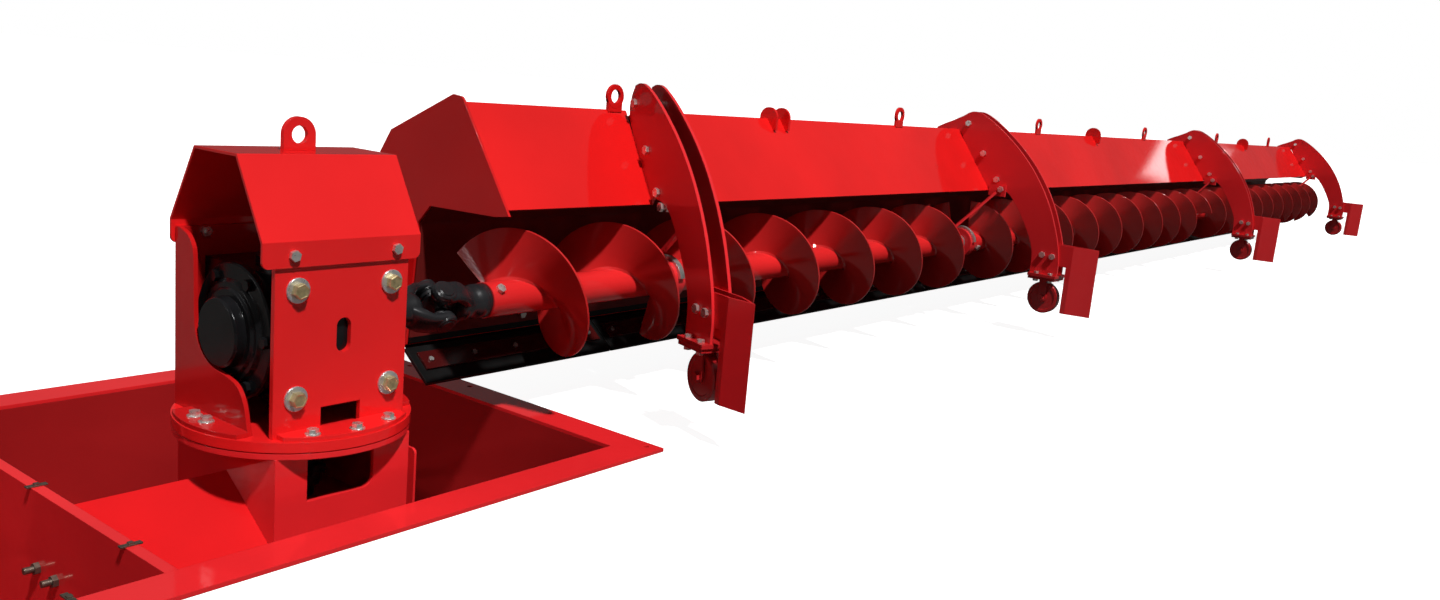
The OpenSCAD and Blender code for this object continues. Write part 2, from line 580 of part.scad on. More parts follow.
// bolts in the upright board above the wiper
bdir = unit(board_pts[2] - board_pts[1]);
board_p = board_pts[1] + 245 * bdir - hood_t * side(board_pts[1], board_pts[2]);
module board_bolt_places()
  for (x = [775 : 760 : arm_x4 - 300]) translate([x, board_p[0], board_p[1]]) rotate([90 + atan2(bdir[0], -bdir[1]), 0, 0]) children();
module clamp_bolts() color("#c9c5b8") {
  clamp_bolt_places() { hex_head(11, 4); translate([0, 0, -22]) cylinder(r = 3, h = 23); translate([0, 0, -rub_t - bar_t - hood_t - 4]) hex_head(11, 4); }
  board_bolt_places() { hex_head(17, 7); translate([0, 0, -14]) cylinder(r = 5, h = 15); translate([0, 0, -hood_t - 7]) hex_head(17, 7); }
}

// ---------- hanger bearings ----------
// flat bar with square ends from point a to point b
module bar(a, b, w, t) let (d = b - a) translate(a) rotate([0, acos(d[2] / norm(d)), atan2(d[1], d[0])])
  translate([-t / 2, -w / 2, 0]) cube([t, w, norm(d)]);
// i: which bearing, xa: face of the arm plate the hanger is bolted to
function hanger_s(i) = i == 0 ? pair + arm_t / 2 : -arm_t / 2;
// strap from the arm plate down to the bearing; the first one goes outward before
// it goes down, clear of the flighting
module hanger_bar(i, e) {
  a = arm_pt(i, hanger_s(i) + (i == 0 ? 4 : -8), -84, up(holes_of(i))[3][1] - 13);
  b = [gaps[i] - (i == 0 ? 0 : 10), 20, axis_z + 56];
  c = [gaps[i] - 11, a[1], a[2]];
  if (i == 0) bar(a, c + [6, 0, 0], 16 + 2 * e, 8 + 2 * e);
  bar(i == 0 ? c : a, b, 16 + 2 * e, 8 + 2 * e);
}
module hanger(i) {
  x = gaps[i];
  xa = hanger_s(i);
  h = up(holes_of(i))[3];
  difference() {
    union() {
      rod(x - 20, x + 20, 52);
      hanger_bar(i, 0);
    }
    rod(x - 40, x + 40, stub_r + 0.06);
    rod(x - 12, x + 12, 44);
  }
  arm_frame(i) difference() {
    translate([i == 0 ? xa : xa - 8, -118, h[1] - 26]) cube([8, 64, 40]);
    x_holes(xa, [h], 40);
  }
}
module hangers() color("#b81511") for (i = [0 : 3]) hanger(i);
// bright clamp bolted on top of each bearing
module hanger_clamps() color("#b9b7b0")
  for (i = [0 : 3]) difference() {
    translate([gaps[i], 0, axis_z]) rotate([-16, 0, 0]) difference() {
      rotate([0, 90, 0]) cylinder(r = 60, h = 16, center = true);
      rotate([0, 90, 0]) cylinder(r = 52.3, h = 20, center = true);
      translate([-20, -70, -90]) cube([40, 140, 82]);
    }
    hanger_bar(i, 0.3);
  }

// ---------- arms ----------
arm_outer = [[66, 750], [44, 757], [16, 753], [-27, 731], [-83, 692], [-145, 640], [-202, 580], [-252, 512], [-292, 440], [-322, 364], [-338, 310], [-346, 262]];
arm_tail = [[184, 690], [153, 706], [127, 717], [84, 738]];
arm_inner = [[-246, 262], [-238, 310], [-206, 375], [-164, 440], [-118, 486], [-60, 500]];
function up(l) = [for (p = l) [p[0], p[1] - 288 + axis_z]];
arm_foot = 216;
// tail: the plate runs on down the back of the ridge
module arm_shape(tail) polygon(concat(up(tail ? arm_tail : [[78, 728]]), smooth(up(arm_outer), 4), [[-346, arm_foot], [-246, arm_foot]], smooth(up(arm_inner), 4),
  up([[-46, 480], [-30, 490], [82, 672]]), tail ? up([[126, 675], [180, 652]]) : up([[86, 700]])));
arm_bolt_z = [[-284, 283], [-321, 281]];
module x_holes(s, l, h) for (p = l) translate([s - h / 2, p[0], p[1]]) rotate([0, 90, 0]) cylinder(r = 6.3, h = h);
module arm_plate(i, s) arm_frame(i) difference() {
  yz(s - arm_t / 2, arm_t) arm_shape(i > 0);
  x_holes(s, up(holes_of(i)), 40);
  x_holes(s, arm_bolt_z, 40);
  translate([s - 20, -155, 389 - 288 + axis_z]) rotate([0, 90, 0]) cylinder(r = 9, h = 40);
}
module arm_1_inner() color("#c81914") arm_plate(0, 0);
module arm_1_outer() color("#c81914") arm_plate(0, pair);
module arm_2_inner() color("#c81914") arm_plate(1, 0);
module arm_2_outer() color("#c81914") arm_plate(1, pair);
module arm_3_inner() color("#c81914") arm_plate(2, 0);
module arm_3_outer() color("#c81914") arm_plate(2, pair);
module arm_4() color("#c81914") arm_plate(3, 0);

// sleeves that hold the plates of a double arm apart
module arm_spacers() color("#8d8f90")
  for (i = [0 : 2]) arm_frame(i) for (p = up(holes_of(i))) translate([arm_t / 2, p[0], p[1]]) rotate([0, 90, 0]) difference() {
    cylinder(r = 11, h = arm_gap);
    translate([0, 0, -1]) cylinder(r = 6.3, h = arm_gap + 2);
  }
// bolts through the arm plates
module arm_bolt(p, l, s) translate([s, p[0], p[1]]) rotate([0, -90, 0]) {
  bolt(12, 19, 8, l + 12);
  translate([0, 0, -l - 8]) hex_head(19, 8);
}
module arm_bolts() color("#d2cdb9") {
  for (i = [0 : 3]) arm_frame(i) {
    l = i < 3 ? pair + arm_t : arm_t;
    // the lowest of the upper bolts also holds the hanger
    for (k = [0 : 2]) arm_bolt(up(holes_of(i))[k], l, -arm_t / 2);
    arm_bolt(up(holes_of(i))[3], l + 8, i > 0 ? -arm_t / 2 - 8 : -arm_t / 2);
    for (p = arm_bolt_z) arm_bolt(p, i < 3 ? l : l + 5, -arm_t / 2);
  }
}

// paddles: wedge shaped on the double arms, a bent plate on the end arm
paddle_z0 = 86;
paddle_z1 = 325;
module paddle(p, s) {
  // plan outline of the bent plate, above and below the arm foot
  translate([0, 0, paddle_z0]) linear_extrude(paddle_z1 - paddle_z0) polygon(strip(p, 0, s * 5));
}
module paddle_double(nose) {
  paddle([[arm_t / 2, -372], [arm_t / 2, -390], [pair / 2, nose], [pair - arm_t / 2, -390], [pair - arm_t / 2, -372]], 1);
  for (x = [arm_t / 2, pair - arm_t / 2 - 5]) translate([x, -372, 250]) cube([5, 110, paddle_z1 - 250]);
}
module paddle_single() {
  paddle([[arm_t / 2, -372], [arm_t / 2, -390], [arm_t / 2 + 20, -466]], 1);
  translate([arm_t / 2, -372, 250]) cube([5, 110, paddle_z1 - 250]);
}
module paddles() color("#c81914")
  for (i = [0 : 3]) arm_frame(i) difference() {
    if (i < 3) translate([0, 0, i == 0 ? 4 : 0]) paddle_double(i == 0 ? -462 : -474); else paddle_single();
    x_holes(mid, arm_bolt_z, 120);
  }

// ---------- wheels ----------
function fork_x(i) = i < 3 ? mid : 0;
fork_bolt_y = [-276, -326];
module wheel_fork() {
  difference() {
    union() {
      // two stacked plates under the arm
      translate([-50, wheel_y - 50, arm_foot - 10]) cube([100, 102, 10]);
      translate([-47, wheel_y - 46, arm_foot - 20]) cube([94, 96, 10]);
      // legs
      for (x = [-wheel_w / 2 - 7, wheel_w / 2 + 1]) translate([x, wheel_y, 0]) {
        translate([0, -15, wheel_z]) cube([6, 30, arm_foot - 19 - wheel_z]);
        translate([0, 0, wheel_z]) rotate([0, 90, 0]) cylinder(r = 15, h = 6);
      }
    }
    fork_bolt_places() cylinder(r = 5.3, h = 60, center = true);
  }
  // axle
  translate([-wheel_w / 2 - 7, wheel_y, wheel_z]) rotate([0, -90, 0]) rotate([0, 0, 10]) hex_head(19, 8);
  translate([-wheel_w / 2 - 10, wheel_y, wheel_z]) rotate([0, 90, 0]) cylinder(r = 8, h = wheel_w + 24);
  translate([wheel_w / 2 + 7, wheel_y, wheel_z]) rotate([0, 90, 0]) hex_head(19, 8);
}
module fork_bolt_places() for (y = fork_bolt_y, x = [-38, 38]) translate([x, y, arm_foot]) children();
module wheel_forks() color("#b81511") for (i = [0 : 3]) arm_frame(i) translate([fork_x(i), 0, 0]) wheel_fork();
module fork_bolts() color("#c9c5b8") for (i = [0 : 3]) arm_frame(i) translate([fork_x(i), 0, 0])
  fork_bolt_places() { bolt(10, 16, 7, 22); translate([0, 0, -27]) hex_head(16, 7); }
module wheel(i) color("#c2201a") arm_frame(i)
  translate([fork_x(i) - wheel_w / 2, wheel_y, wheel_z]) rotate([0, 90, 0]) rotate_extrude()
    polygon([[8.05, 0], [18, 0], [18, 2], [wr - 14, 2], [wr - 12, 0], [wr - 3, 0], [wr, 3], [wr, wheel_w - 3], [wr - 3, wheel_w], [wr - 12, wheel_w], [wr - 14, wheel_w - 2], [18, wheel_w - 2], [18, wheel_w], [8.05, wheel_w]]);
module wheel_1() wheel(0);
module wheel_2() wheel(1);
module wheel_3() wheel(2);
module wheel_4() wheel(3);

// ---------- assembly ----------
sump_pan();
sump_rim();
divider_wall();
divider_clips();
divider_bolts();
grain_ramp();
pedestal();
pedestal_guide();
lower_table();
drive_shaft();
drive_coupling();
upper_table();
housing_front();
housing_back();
roof();
roof_eye();
housing_bolts();
gearbox_bolts();
foot_bolts();
gearbox_case();
gearbox_cover();
cover_bolts();
yoke_inner();
yoke_cross();
yoke_outer();
auger_tube();
stub_shafts();
flighting_1();
flighting_2();
flighting_3();
flighting_4();
flighting_5();
tube_bolts();
hood_1();
hood_2();
hood_3();
hood_4();
hood_end();
lifting_lugs();
wiper_strips();
clamp_bars();
clamp_bolts();
hangers();
hanger_clamps();
arm_1_inner();
arm_1_outer();
arm_2_inner();
arm_2_outer();
arm_3_inner();
arm_3_outer();
arm_4();
arm_spacers();
arm_bolts();
paddles();
wheel_forks();
fork_bolts();
wheel_1();
wheel_2();
wheel_3();
wheel_4();
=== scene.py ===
import bpy, bmesh
from math import radians, pi
from mathutils import Matrix, Vector


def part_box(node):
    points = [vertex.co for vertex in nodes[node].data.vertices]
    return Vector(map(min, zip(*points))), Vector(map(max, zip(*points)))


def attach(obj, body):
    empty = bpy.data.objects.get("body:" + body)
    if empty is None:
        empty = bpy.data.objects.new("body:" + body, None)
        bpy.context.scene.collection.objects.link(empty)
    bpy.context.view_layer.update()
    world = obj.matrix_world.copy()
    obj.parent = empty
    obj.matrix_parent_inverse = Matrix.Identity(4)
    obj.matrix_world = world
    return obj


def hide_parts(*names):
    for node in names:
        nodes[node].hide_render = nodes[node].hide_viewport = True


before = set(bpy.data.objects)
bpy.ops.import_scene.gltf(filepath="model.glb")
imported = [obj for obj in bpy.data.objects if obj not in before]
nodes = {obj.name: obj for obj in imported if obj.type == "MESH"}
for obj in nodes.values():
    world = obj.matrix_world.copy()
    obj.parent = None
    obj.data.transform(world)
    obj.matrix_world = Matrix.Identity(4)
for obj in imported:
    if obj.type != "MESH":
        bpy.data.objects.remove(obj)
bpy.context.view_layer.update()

# Camera: eye height, beside and in front of the gearbox, looking along the long
# screw so that the far arms grow small, with a moderately wide lens.
camera = bpy.data.objects.new("camera", bpy.data.cameras.new("camera"))
bpy.context.scene.collection.objects.link(camera)
eye, right = (-1.15437, -1.78081, 0.77364), (0.605085, -0.791035, 0.090198)
up, ahead = (0.093653, 0.183223, 0.9786), (0.790634, 0.583689, -0.184948)
camera.matrix_world = Matrix([(right[i], up[i], -ahead[i], eye[i]) for i in range(3)] + [(0, 0, 0, 1)])
camera.data.sensor_width = 36.0
camera.data.lens = 28.657
camera.data.clip_end = 200.0
bpy.context.scene.camera = camera

# Floor: a pale bin floor level with the underside of the sump rim, with the
# opening that the sump pan hangs in. It is white to the eye and keeps the shadow,
# and gives back only a little light, as a dull concrete floor does.
bpy.context.scene.view_settings.view_transform = "Standard"
floor_mesh = bmesh.new()
pan_low, pan_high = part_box("sump_pan")
floor_half, middle_x, under_rim, play = 60.0, 4.0, -0.0085, 0.01
bmesh.ops.create_grid(floor_mesh, x_segments=1, y_segments=1, size=floor_half)
bmesh.ops.translate(floor_mesh, verts=floor_mesh.verts, vec=(middle_x, 0.0, under_rim))
for across, place in (((1, 0, 0), pan_low.x - play), ((1, 0, 0), pan_high.x + play),
                      ((0, 1, 0), pan_low.y - play), ((0, 1, 0), pan_high.y + play)):
    bmesh.ops.bisect_plane(floor_mesh, geom=floor_mesh.verts[:] + floor_mesh.edges[:] + floor_mesh.faces[:],
                           plane_co=(place, place, 0), plane_no=across)
opening = [f for f in floor_mesh.faces if pan_low.x < f.calc_center_median().x < pan_high.x
           and pan_low.y < f.calc_center_median().y < pan_high.y]
bmesh.ops.delete(floor_mesh, geom=opening, context="FACES")
floor = bpy.data.objects.new("floor", bpy.data.meshes.new("floor"))
floor_mesh.to_mesh(floor.data)
floor_mesh.free()
bpy.context.scene.collection.objects.link(floor)
concrete = bpy.data.materials.new("pale_floor")
concrete.use_nodes = True
tree = concrete.node_tree
tree.nodes.clear()
seen = tree.nodes.new("ShaderNodeLightPath")
lit, glow, dull = (tree.nodes.new(k) for k in ("ShaderNodeBsdfDiffuse", "ShaderNodeEmission", "ShaderNodeBsdfDiffuse"))
lit.inputs["Color"].default_value = (0.55, 0.55, 0.55, 1)
glow.inputs["Color"].default_value = (1, 1, 1, 1)
glow.inputs["Strength"].default_value = 0.91
dull.inputs["Color"].default_value = (0.11, 0.105, 0.10, 1)
both, pick = tree.nodes.new("ShaderNodeAddShader"), tree.nodes.new("ShaderNodeMixShader")
tree.links.new(both.inputs[0], lit.outputs[0])
tree.links.new(both.inputs[1], glow.outputs[0])
tree.links.new(pick.inputs[0], seen.outputs["Is Camera Ray"])
tree.links.new(pick.inputs[1], dull.outputs[0])
tree.links.new(pick.inputs[2], both.outputs[0])
tree.links.new(tree.nodes.new("ShaderNodeOutputMaterial").inputs[0], pick.outputs[0])
floor.data.materials.append(concrete)

# Light: a hall that is white to the eye and dim to the metal, one strong high
# lamp in front that leaves the inside of the hood in shadow, a soft panel behind
# to the left and one beyond the far end that shows as a streak in the paint.
def two_tones(ramp, low, painted_shade_and_black_foot, high, light):
    for stop, at, tone in zip(ramp.color_ramp.elements, (low, high), (painted_shade_and_black_foot, light)):
        stop.position, stop.color = at, tuple(tone) + (1,)


world = bpy.data.worlds.new("hall")
bpy.context.scene.world = world
world.use_nodes = True
tree = world.node_tree
tree.nodes.clear()
seen = tree.nodes.new("ShaderNodeLightPath")
white, hall, gloss = (tree.nodes.new("ShaderNodeBackground") for _ in range(3))
white.inputs["Strength"].default_value = 1.0
white.inputs["Color"].default_value = (1, 1, 1, 1)
where, height, shade = (tree.nodes.new(k) for k in ("ShaderNodeTexCoord", "ShaderNodeSeparateXYZ",
                                                    "ShaderNodeValToRGB"))
tree.links.new(height.inputs[0], where.outputs["Generated"])
tree.links.new(shade.inputs[0], height.outputs["Z"])
two_tones(shade, 0.0, (0.30, 0.30, 0.30), 0.7, (1, 1, 1))
tree.links.new(hall.inputs["Color"], shade.outputs[0])
hall.inputs["Strength"].default_value = 0.11
tree.links.new(gloss.inputs["Color"], shade.outputs[0])
gloss.inputs["Strength"].default_value = 0.16
first, second = tree.nodes.new("ShaderNodeMixShader"), tree.nodes.new("ShaderNodeMixShader")
tree.links.new(first.inputs[0], seen.outputs["Is Glossy Ray"])
tree.links.new(first.inputs[1], hall.outputs[0])
tree.links.new(first.inputs[2], gloss.outputs[0])
tree.links.new(second.inputs[0], seen.outputs["Is Camera Ray"])
tree.links.new(second.inputs[1], first.outputs[0])
tree.links.new(second.inputs[2], white.outputs[0])
tree.links.new(tree.nodes.new("ShaderNodeOutputWorld").inputs[0], second.outputs[0])
high_lamp = bpy.data.objects.new("high_lamp", bpy.data.lights.new("high_lamp", "SUN"))
high_lamp.data.energy, high_lamp.data.angle = 4.0, radians(3)
toward_lamp = Vector((-0.16, -0.49, 0.82))
high_lamp.matrix_world = toward_lamp.to_track_quat("Z", "Y").to_matrix().to_4x4()
bpy.context.scene.collection.objects.link(high_lamp)
panels = (("left_panel", Vector((-4.6, 2.4, 2.3)), Vector((0.5, 0.1, 0.35)), 1.5, 1.3, 34.0),
          ("far_panel", Vector((13.5, -0.88, 2.58)), Vector((6.0, 0.0, 0.55)), 0.6, 0.75, 3.0))
for name, place, aim, wide, tall, power in panels:
    lamp = bpy.data.objects.new(name, bpy.data.lights.new(name, "AREA"))
    lamp.data.shape, lamp.data.size, lamp.data.size_y, lamp.data.energy = "RECTANGLE", wide, tall, power
    facing = (aim - place).to_track_quat("-Z", "Y").to_matrix().to_4x4()
    lamp.matrix_world = Matrix.Translation(place) @ facing
    bpy.context.scene.collection.objects.link(lamp)

# Sump: a folded steel pan with a flat rim that is anchored on the bin floor, a
# divider sheet, a pedestal and a sloping plate that guides grain. All of it is
# in glossy red enamel with the slight ripple of wet spray, dullest on the plate.
def soften(t, radius):
    edge = t.nodes.new("ShaderNodeBevel")
    edge.samples = 4
    edge.inputs["Radius"].default_value = radius
    return edge.outputs[0]


def red_enamel(name, colour=(0.74, 0.009, 0.009), gloss=0.05, ripple=0.10):
    m = bpy.data.materials.new(name)
    m.use_nodes = True
    t = m.node_tree
    s = t.nodes["Principled BSDF"]
    place = t.nodes.new("ShaderNodeTexCoord")
    cloud, peel, scuff = (t.nodes.new("ShaderNodeTexNoise") for _ in range(3))
    for n, size, fine in ((cloud, 2.2, 3.0), (peel, 260.0, 2.0), (scuff, 26.0, 6.0)):
        t.links.new(n.inputs["Vector"], place.outputs["Object"])
        n.inputs["Scale"].default_value = size
        n.inputs["Detail"].default_value = fine
    tone = t.nodes.new("ShaderNodeValToRGB")
    two_tones(tone, 0.30, (c * 0.86 for c in colour), 0.70, (min(1.0, c * 1.08) for c in colour))
    t.links.new(tone.inputs[0], cloud.outputs[0])
    t.links.new(s.inputs["Base Color"], tone.outputs[0])
    rough = t.nodes.new("ShaderNodeMapRange")
    rough.inputs["From Min"].default_value, rough.inputs["From Max"].default_value = 0.35, 0.75
    rough.inputs["To Min"].default_value, rough.inputs["To Max"].default_value = 0.45, 0.575
    t.links.new(rough.inputs["Value"], scuff.outputs[0])
    t.links.new(s.inputs["Roughness"], rough.outputs[0])
    bump = t.nodes.new("ShaderNodeBump")
    bump.inputs["Strength"].default_value = ripple
    bump.inputs["Distance"].default_value = 0.0006
    t.links.new(bump.inputs["Height"], peel.outputs[0])
    t.links.new(bump.inputs["Normal"], soften(t, 0.0016))
    t.links.new(s.inputs["Normal"], bump.outputs[0])
    t.links.new(s.inputs["Coat Normal"], bump.outputs[0])
    s.inputs["Coat Weight"].default_value = 1.0
    s.inputs["Coat Roughness"].default_value = gloss
    s.inputs["Coat IOR"].default_value = 1.5
    s.inputs["Specular IOR Level"].default_value = 0.02
    return m


def give(material, *names):
    for n in names:
        nodes[n].data.materials.clear()
        nodes[n].data.materials.append(material)


# the pan's red is darkened to a deep red: painted shade down in the pit
give(red_enamel("pan_enamel_painted_shade", (0.35, 0.012, 0.013), 0.06), "sump_pan")
give(red_enamel("sump_enamel", (0.76, 0.019, 0.023)),
     "sump_rim", "divider_wall", "pedestal", "pedestal_guide", "lower_table")
ramp_paint = red_enamel("ramp_enamel", (0.62, 0.007, 0.009), 0.10)
ramp_paint.node_tree.nodes["Principled BSDF"].inputs["Coat Weight"].default_value = 0.35
give(ramp_paint, "grain_ramp")

# Clips and bolts of the divider: small zinc plated steel parts pushed over the
# edge and screwed through the sheet. They are dull from handling.
def zinc_plate(name, colour=(0.90, 0.88, 0.84), rough=0.20, streak=0.25):
    m = bpy.data.materials.new(name)
    m.use_nodes = True
    t = m.node_tree
    s = t.nodes["Principled BSDF"]
    place, cloud, tone = (t.nodes.new(k) for k in ("ShaderNodeTexCoord", "ShaderNodeTexNoise", "ShaderNodeValToRGB"))
    t.links.new(cloud.inputs["Vector"], place.outputs["Object"])
    cloud.inputs["Scale"].default_value, cloud.inputs["Detail"].default_value = 130.0, 5.0
    two_tones(tone, 0.30, (c * (1 - streak) for c in colour), 0.68, colour)
    t.links.new(tone.inputs[0], cloud.outputs[0])
    t.links.new(s.inputs["Base Color"], tone.outputs[0])
    rub = t.nodes.new("ShaderNodeMapRange")
    rub.inputs["To Min"].default_value, rub.inputs["To Max"].default_value = rough, rough + 0.18
    t.links.new(rub.inputs["Value"], cloud.outputs[0])
    t.links.new(s.inputs["Roughness"], rub.outputs[0])
    t.links.new(s.inputs["Normal"], soften(t, 0.0009))
    s.inputs["Metallic"].default_value = 0.85
    return m


give(zinc_plate("divider_zinc", (0.20, 0.165, 0.13), 0.34), "divider_clips", "divider_bolts")

# Turntable and gearbox housing: thick laser cut plate on a round table, with the
# roof sheet folded over it and bolted. Red enamel, made a little lighter on the
# table, front, roof and eye as painted light, and darker on the back plate and
# its wings as painted shade.
give(red_enamel("housing_enamel_painted_light", (0.80, 0.013, 0.014)), "upper_table", "housing_front", "roof", "roof_eye")
give(red_enamel("wing_enamel_painted_shade", (0.54, 0.008, 0.009)), "housing_back")
give(zinc_plate("housing_zinc"), "foot_bolts", "housing_bolts")

# Gearbox bolts: eight hexagon bolts with a yellow passivated head, a little
# dished on top, each on a bright zinc washer. They screw into the gearbox case.
def into_object(bm, name, sharp, *materials):
    bmesh.ops.recalc_face_normals(bm, faces=bm.faces[:])
    piece = bpy.data.objects.new(name, bpy.data.meshes.new(name))
    bm.to_mesh(piece.data)
    bm.free()
    if sharp:
        piece.data.shade_smooth()
        piece.data.set_sharp_from_angle(angle=radians(sharp))
    for m in materials:
        piece.data.materials.append(m)
    bpy.context.scene.collection.objects.link(piece)
    return piece


washer_r, washer_t, head_r, head_h = 0.0215, 0.0035, 0.01386, 0.011
plate_y, outward = 0.138, 0.003
bm = bmesh.new()
for east in (-0.092, 0.092):
    for high in (0.196, 0.380):
        for side in (-1, 1):
            lying = Matrix.Rotation(radians(-90 * side), 4, "X")
            spot = Matrix.Translation((outward - side * east, plate_y * side, high)) @ lying
            back = spot.inverted()
            washer = bmesh.ops.create_cone(bm, cap_ends=True, segments=48, radius1=washer_r, radius2=washer_r,
                                           depth=washer_t, matrix=spot @ Matrix.Translation((0, 0, washer_t / 2)))
            rims = [e for e in {e for v in washer["verts"] for e in v.link_edges}
                    if all(abs((back @ v.co).z - washer_t) < 1e-5 for v in e.verts)]
            bmesh.ops.bevel(bm, geom=rims, offset=0.0008, segments=2, affect="EDGES")
            turned = Matrix.Rotation(radians(17 + 60 * east + 90 * high), 4, "Z")
            head = bmesh.ops.create_cone(bm, cap_ends=True, segments=6, radius1=head_r, radius2=head_r, depth=head_h,
                                         matrix=spot @ Matrix.Translation((0, 0, washer_t + head_h / 2)) @ turned)
            sides = {f for v in head["verts"] for f in v.link_faces}
            top = max(sides, key=lambda f: (back @ f.calc_center_median()).z)
            for f in sides:
                f.material_index = 1
            for border, rise in ((0.0022, 0.0012), (0.0016, -0.0009)):
                bmesh.ops.inset_region(bm, faces=[top], thickness=border)
                bmesh.ops.translate(bm, verts=top.verts, vec=spot.to_3x3() @ Vector((0, 0, rise)))
piece = into_object(bm, "flange_bolts", 0, zinc_plate("washer_zinc", (0.86, 0.87, 0.88), 0.20, 0.15),
                    zinc_plate("head_zinc", (0.86, 0.72, 0.38), 0.22, 0.35))
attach(piece, "sweep")
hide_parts("gearbox_bolts")

# Gearbox and its drive: iron castings in black paint with a low sheen, rougher
# than the red parts. The coupling in the pedestal and the shafts are bare steel.
def black_paint(name, colour=(0.004, 0.004, 0.0045), rough=0.20, cast=0.12, size=180.0):
    m = bpy.data.materials.new(name)
    m.use_nodes = True
    t = m.node_tree
    s = t.nodes["Principled BSDF"]
    place, cloud, skin, tone = (t.nodes.new(k) for k in ("ShaderNodeTexCoord", "ShaderNodeTexNoise",
                                                         "ShaderNodeTexNoise", "ShaderNodeValToRGB"))
    for n, lumps, fine in ((cloud, 14.0, 4.0), (skin, size, 3.0)):
        t.links.new(n.inputs["Vector"], place.outputs["Object"])
        n.inputs["Scale"].default_value, n.inputs["Detail"].default_value = lumps, fine
    two_tones(tone, 0.35, colour, 0.75, (c * 2.2 for c in colour))
    t.links.new(tone.inputs[0], cloud.outputs[0])
    t.links.new(s.inputs["Base Color"], tone.outputs[0])
    s.inputs["Roughness"].default_value = rough
    s.inputs["Specular IOR Level"].default_value = 0.28
    bump = t.nodes.new("ShaderNodeBump")
    bump.inputs["Strength"].default_value = cast
    bump.inputs["Distance"].default_value = 0.0008
    t.links.new(bump.inputs["Height"], skin.outputs[0])
    t.links.new(bump.inputs["Normal"], soften(t, 0.002))
    t.links.new(s.inputs["Normal"], bump.outputs[0])
    return m


give(black_paint("gearbox_paint"), "gearbox_case", "gearbox_cover", "cover_bolts")
give(zinc_plate("coupling_steel", (0.13, 0.13, 0.14), 0.22), "drive_coupling")
give(zinc_plate("turned_steel", (0.50, 0.50, 0.50), 0.30), "drive_shaft", "stub_shafts")

# Universal joint: two drop forged yokes whose arms sweep out of a round hub to an
# eye, pinned through the trunnions of the cross. Forgings in thick black paint.
forged = black_paint("joint_paint", (0.010, 0.010, 0.011), 0.27, 0.12, 90.0)
forged.node_tree.nodes["Principled BSDF"].inputs["Specular IOR Level"].default_value = 0.5
give(forged, "yoke_cross")
lay_along = Matrix.Rotation(radians(90), 4, "Y")
joint_x, axis_z, squareness, hub_bevel = 0.306, 0.288, 3.2, 0.0015
shaft_r, shaft_length, shaft_x = 0.022, 0.092, -0.194


def grow(bm, face):
    out = bmesh.ops.extrude_face_region(bm, geom=[face])["geom"]
    bmesh.ops.delete(bm, geom=[face], context="FACES_ONLY")
    return [g for g in out if isinstance(g, bmesh.types.BMFace)][0]


